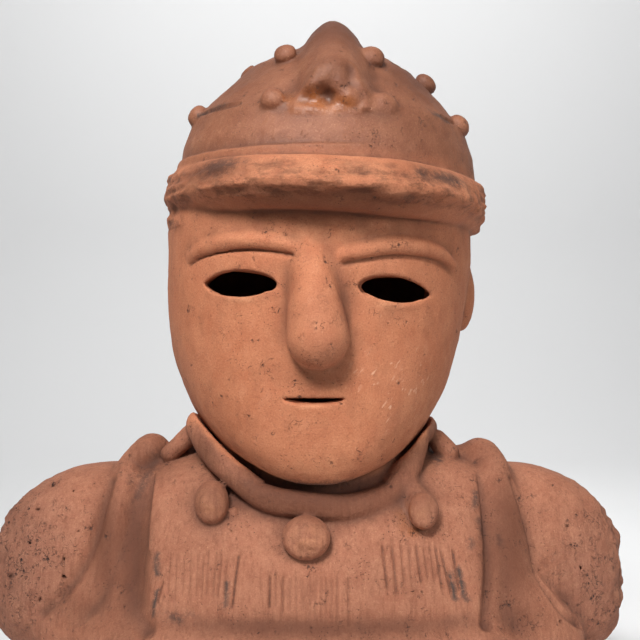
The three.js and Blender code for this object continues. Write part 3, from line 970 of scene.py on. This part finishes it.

# Painted shade, with some brown dirt: under the brim, under the nose and down its right side, on the
# collar and shoulders under the jaw, in the straps' valleys, along the chest's lower groove, and over the
# dome and crest.
shade_and_dirt_patches = [
    ((3, -98, 261), (90, 40, 11), 0.7),
    ((13, -86, 214), (6, 16, 26), 0.6),
    ((-5, -62, 118), (84, 60, 20), 1.0),
    ((7, -30, 360), (30, 90, 30), 1.0),
    ((6, -78, 330), (22, 16, 18), 0.6),
    ((50, -30, 335), (34, 80, 26), 0.85),
    ((-42, -30, 338), (34, 80, 24), 0.6),
    ((-60, -84, 279), (38, 60, 11), 0.75),
    ((60, -90, 277), (40, 60, 8), 0.45),
    ((46, -50, 300), (44, 70, 34), 0.45),
    ((-50, -50, 322), (30, 60, 22), 0.3),
    ((-58, -30, 138), (18, 60, 18), 0.9),
    ((54, -30, 138), (18, 60, 18), 0.7),
    ((-90, -30, 132), (22, 60, 18), 0.7),
    ((86, -30, 134), (22, 60, 14), 0.6),
    ((-2, -84, 176), (22, 14, 9), 0.5),
    ((-98, -60, 84), (15, 90, 60), 1.0),
    ((-112, -60, 92), (14, 90, 56), 0.9),
    ((86, -60, 88), (8, 90, 54), 0.9),
    ((98, -60, 92), (18, 90, 60), 0.95),
    ((-2, -86, 53), (130, 50, 8), 0.9),
    ((-124, -60, 56), (26, 60, 14), 0.6),
    ((100, -60, 54), (18, 60, 14), 0.7),
]
shade_and_dirt = painted(points, shade_and_dirt_patches, 0.7) * ~(on_head & (points[:, 2] < 160))
shade_and_dirt = spread(shade_and_dirt, 3)
lower = np.clip((152 - points[:, 2]) / 3, 0, 1) * ~on_head
lower = spread(lower, 1)
helmet = np.clip((points[:, 2] - 284 + 0.03 * points[:, 0]) / 8, 0, 1)
scratched = within(points, (40, -74, 172), (32, 30, 26), 0.5)
pitted_patches = [
    ((-158, 0, 72), (44, 70, 60), 1.0),
    ((142, 0, 66), (34, 60, 46), 1.0),
    ((4, -100, 200), (16, 20, 30), 0.3),
]
resin_patches = [
    ((-2, -80, 315.5), (15, 12, 7), 1.0),
    ((12, -80, 313), (12, 12, 6), 0.8),
    ((2, -77, 309.5), (20, 9, 3), 0.7),
    ((-16, -72, 316), (4, 12, 8), 0.7),
    ((42.5, -62, 108), (4, 12, 9), 1.0),
    ((47, -66, 98.5), (8, 12, 3.4), 0.9),
]

places = {
    "crease_shade_and_dirt": crease_shade_and_dirt,
    "soot_and_shade": soot_and_shade,
    "wear_and_highlight": painted(points, wear_and_highlight_patches, 0.8),
    "helmet": helmet,
    "scratched": scratched,
    "pitted": painted(points, pitted_patches, 0.5),
    "shade_and_dirt": shade_and_dirt,
    "resin": painted(points, resin_patches, 0.6),
    "lower": lower,
    "brim": brim_part(points),
}
for name, value in places.items():
    layer = mesh.attributes.new(name, "FLOAT", "POINT")
    layer.data.foreach_set("value", value.astype(np.float32))

in_metres = (points + np.array([*head_axis, 0])) / 1000
mesh.vertices.foreach_set("co", in_metres.astype(np.float32).ravel())
mesh.update()


def colour(code):
    """An sRGB hex colour as linear light."""
    channels = [int(code[i : i + 2], 16) / 255 for i in (0, 2, 4)]
    return (*[c / 12.92 if c <= 0.04045 else ((c + 0.055) / 1.055) ** 2.4 for c in channels], 1)


def new_material(name):
    material = bpy.data.materials.new(name)
    material.use_nodes = True
    material.node_tree.nodes.clear()
    return material.node_tree


def node(tree, kind, settings=None, output=0, **links):
    """Adds a node and gives one of its outputs. Settings are the node's own properties, and links
    are its inputs' values or sources."""
    made = tree.nodes.new("ShaderNode" + kind)
    for key, value in (settings or {}).items():
        setattr(made, key, value)
    for key, value in links.items():
        socket = made.inputs[int(key[1:]) if key[1:].isdigit() else key.replace("_", " ")]
        if isinstance(value, bpy.types.NodeSocket):
            tree.links.new(value, socket)
        else:
            socket.default_value = value
    return made.outputs[output] if made.outputs else None


# Reddish fired clay: a low-fired earthenware, burnished by hand and not glazed. To the eye it is
# matt and warm, cloudy from the kiln, with grit, tool marks and a thousand years of dirt.
tree = new_material("reddish_fired_clay")
place = node(tree, "TexCoord", None, "Object")
mask = {name: node(tree, "Attribute", {"attribute_name": name}, "Fac") for name in places}


def pattern(scale, detail, rough, stretch=(1.0, 1.0, 1.0)):
    """Cloudy patches, about 1000 / scale mm apart and drawn out along an axis by a small stretch."""
    where = node(tree, "Mapping", None, Vector=place, Scale=stretch)
    return node(tree, "TexNoise", None, "Fac", Vector=where, Scale=scale, Detail=detail, Roughness=rough)


def product(*factors):
    """Factors multiplied together. One of three parts is a value that counts as 0 at the first
    number and as 1 at the second."""
    result = None
    for factor in factors:
        if isinstance(factor, tuple):
            value, nothing_at, all_at = factor
            factor = node(tree, "MapRange", None, Value=value, From_Min=nothing_at, From_Max=all_at)
        if result is None:
            result = factor
        else:
            result = node(tree, "Math", {"operation": "MULTIPLY"}, i0=result, i1=factor)
    return result


def total(first, *others):
    for other in others:
        first = node(tree, "Math", {"operation": "ADD"}, i0=first, i1=other)
    return first


def coat(under, over, *factors):
    """One colour laid over another as far as the product of the factors."""
    return node(tree, "Mix", {"data_type": "RGBA"}, 2, i0=product(*factors), i6=under, i7=over)


# Blotches 30 to 60 mm across, where the kiln's heat was uneven, then a finer cloudiness.
blotch = (pattern(22.0, 4.0, 0.6), 0.35, 0.65)
cloud = (pattern(95.0, 5.0, 0.65), 0.34, 0.66)
base = coat(colour("B36A48"), colour("B97352"), blotch)
base = coat(base, colour("C8845E"), 0.5, cloud)
# The chest and shoulders are duller and pinker than the face.
body_tone = coat(colour("955D45"), colour("A4684E"), blotch)
body_tone = coat(body_tone, colour("B47B5F"), 0.5, cloud)
base = coat(base, body_tone, mask["lower"])
# The dome and the crest are browner and greyer than the face.
base = coat(base, coat(colour("7A4A34"), colour("905E45"), cloud), 0.8, mask["helmet"])
# The broken arms are dirtier again.
base = coat(base, coat(colour("8A5947"), colour("9C6B56"), cloud), 0.6, mask["pitted"])
# The brim is scuffed: dark and light patches 3 to 10 mm across.
scuff = pattern(190.0, 6.0, 0.75, (0.4, 0.6, 1.0))
base = coat(base, colour("74452F"), 0.7, mask["brim"], (scuff, 0.52, 0.42))
# Worn edges show the lighter, more orange clay; on the forehead, chin, brows, lower lids and lower lip
# the same coat is a painted highlight.
base = coat(base, colour("CC8C66"), 0.8, mask["wear_and_highlight"], (pattern(170.0, 5.0, 0.7), 0.4, 0.6))
# Strokes of the smoothing hand and of a scraper: down the body, along the brim, across the dome.
down = pattern(520.0, 3.0, 0.6, (1.0, 1.0, 0.07))
along = pattern(420.0, 3.0, 0.6, (0.08, 0.3, 1.0))
wiped = pattern(150.0, 3.0, 0.6, (0.8, 0.8, 0.5))
strokes = coat(coat(wiped, down, mask["lower"]), along, mask["brim"])
stained = total(product(0.2, mask["lower"]), 0.15)
base = coat(base, colour("764530"), stained, (strokes, 0.5, 0.36))
base = coat(base, colour("D89A76"), 0.18, (strokes, 0.6, 0.72))
# Soot, and painted shade on the collar under the jaw, broken up at 1 to 5 mm.
flakes = total(pattern(300.0, 6.0, 0.75), product(0.25, mask["soot_and_shade"]))
base = coat(base, colour("3B3431"), mask["soot_and_shade"], (flakes, 0.52, 0.66))
# A brown resin that an old mending left in the crest's break and beside one bead.
base = coat(base, coat(colour("8A4A20"), colour("A86334"), cloud), mask["resin"])
# Fine grit in the clay, grains of 0.4 to 1 mm, darker and lighter.
grit = pattern(1300.0, 3.0, 0.7)
base = coat(base, colour("7C4A36"), 0.45, (grit, 0.54, 0.68))
base = coat(base, colour("DDA882"), 0.25, (grit, 0.44, 0.32))
# Painted shade with some brown dirt under the brim, on the collar and along the straps, and darker
# painted shade with some dirt in the creases.
base = coat(base, colour("5E3421"), 0.85, mask["shade_and_dirt"])
base = coat(base, colour("4E2E22"), 0.8, mask["crease_shade_and_dirt"])
# Short winding cracks and pin holes: few on the smooth clay, many on the arms and the nose.
flaws = pattern(130.0, 3.0, 0.6)
bad = total(product((flaws, 0.6, 0.68)), product(mask["pitted"], (flaws, 0.46, 0.56)))
winding = node(tree, "Math", {"operation": "ABSOLUTE"}, i0=total(pattern(330.0, 2.0, 0.5), -0.5))
holes = product((winding, 0.02, 0.006), bad)
for scale, nothing_at, all_at, where in (
    (260.0, 0.26, 0.14, bad),
    (620.0, 0.2, 0.1, (pattern(70.0, 2.0, 0.5), 0.5, 0.62)),
):
    pores = node(tree, "TexVoronoi", {"feature": "F1"}, "Distance", Vector=place, Scale=scale)
    pores = product((pores, nothing_at, all_at), where)
    holes = node(tree, "Math", {"operation": "MAXIMUM"}, i0=holes, i1=pores)
base = coat(base, colour("45302A"), 0.75, holes)
# Pale scratches on one cheek, 0.5 mm wide and up to 10 mm long, all leaning the same way.
slant = node(
    tree,
    "Mapping",
    {"vector_type": "TEXTURE"},
    Vector=place,
    Rotation=(0.0, 0.8, 0.0),
    Scale=(1.0, 1.0, 6.0),
)
scratches = node(tree, "TexNoise", None, "Fac", Vector=slant, Scale=520.0, Detail=2.0, Roughness=0.5)
some_places = (pattern(110.0, 2.0, 0.5), 0.46, 0.56)
base = coat(base, colour("E3B596"), 0.6, mask["scratched"], (scratches, 0.6, 0.66), some_places)

# The relief that is too fine for the mesh, under 1 mm deep.
chips = pattern(420.0, 4.0, 0.7)
height = total(
    product(0.3, pattern(900.0, 3.0, 0.65)),
    product(0.4, pattern(230.0, 4.0, 0.6)),
    product(0.35, strokes),
    product(0.8, chips, mask["brim"]),
    product(0.5, chips, mask["pitted"]),
    product(-0.8, holes),
)
relief = node(tree, "Bump", None, Height=height, Strength=0.8, Distance=0.0013)
# Fired clay is matt, and a little smoother where hands have rubbed the helmet or resin lies.
roughness = node(tree, "MapRange", None, Value=mask["helmet"], To_Min=0.82, To_Max=0.6)
roughness = total(roughness, product(-0.35, mask["resin"]))
skin = node(
    tree,
    "BsdfPrincipled",
    None,
    Base_Color=base,
    Roughness=roughness,
    IOR=1.5,
    Specular_IOR_Level=0.4,
    Normal=relief,
)
node(tree, "OutputMaterial", None, Surface=skin)
mesh.materials.clear()
mesh.materials.append(bpy.data.materials["reddish_fired_clay"])

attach(figure, "root")
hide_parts("haniwa_figure")

# ---------------------------------------------------------------------------------------------
# The stand: a plain pale sweep of paper, flat under the figure and curving up far behind it.
# ---------------------------------------------------------------------------------------------
profile = [(-2.4, 0.0), (1.4, 0.0)]
profile += [(1.4 + 0.45 * np.sin(a), 0.45 - 0.45 * np.cos(a)) for a in np.linspace(0, np.pi / 2, 17)[1:]]
profile += [(1.85, 3.2)]
verts = [(x, y, z) for y, z in profile for x in (-3.2, 3.2)]
faces = [(2 * i, 2 * i + 1, 2 * i + 3, 2 * i + 2) for i in range(len(profile) - 1)]
sweep_mesh = bpy.data.meshes.new("paper_sweep")
sweep_mesh.from_pydata(verts, [], faces)
sweep_mesh.shade_smooth()
sweep = bpy.data.objects.new("paper_sweep", sweep_mesh)
bpy.context.collection.objects.link(sweep)
tree = new_material("pale_matt_paper")
paper = node(tree, "BsdfPrincipled", None, Base_Color=colour("EDEDED"), Roughness=0.9)
node(tree, "OutputMaterial", None, Surface=paper)
sweep_mesh.materials.append(bpy.data.materials["pale_matt_paper"])

# ---------------------------------------------------------------------------------------------
# Light: one large soft lamp above and to the left of the camera, a weak one opposite, and an even
# pale surround.
# ---------------------------------------------------------------------------------------------


def soft_lamp(name, place_m, aim, size, power, spread):
    lamp = bpy.data.lights.new(name, "AREA")
    lamp.shape = "DISK"
    lamp.size = size
    lamp.energy = power
    lamp.spread = np.radians(spread)
    made = bpy.data.objects.new(name, lamp)
    made.location = place_m
    made.rotation_euler = (Vector(aim) - Vector(place_m)).to_track_quat("-Z", "Y").to_euler()
    bpy.context.collection.objects.link(made)


soft_lamp("lamp_above", (-0.38, -1.25, 1.38), (0, 0, 0.27), 0.7, 1.9, 30)
soft_lamp("lamp_right", (0.9, -0.9, 0.55), (0, 0, 0.22), 0.6, 0.35, 40)
soft_lamp("lamp_behind", (0.0, 0.5, 1.8), (0, 1.85, 0.7), 1.2, 17, 140)
world = bpy.data.worlds.new("pale_room")
world.use_nodes = True
world.node_tree.nodes["Background"].inputs["Color"].default_value = colour("E6E8EA")
world.node_tree.nodes["Background"].inputs["Strength"].default_value = 0.25
bpy.context.scene.world = world
bpy.context.scene.view_settings.view_transform = "Standard"

# ---------------------------------------------------------------------------------------------
# Camera: level with the middle of the figure and straight in front of the face, 680 mm away.
# ---------------------------------------------------------------------------------------------
camera_data = bpy.data.cameras.new("camera")
camera_data.sensor_width = 36
camera_data.lens = 68.3
camera_data.clip_start = 0.01
camera = bpy.data.objects.new("camera", camera_data)
camera.location = (head_axis[0] / 1000, (head_axis[1] - 680) / 1000, 0.190)
aim = Vector((head_axis[0] / 1000, head_axis[1] / 1000, 0.2068))
camera.rotation_euler = (aim - camera.location).to_track_quat("-Z", "Y").to_euler()
bpy.context.collection.objects.link(camera)
bpy.context.scene.camera = camera
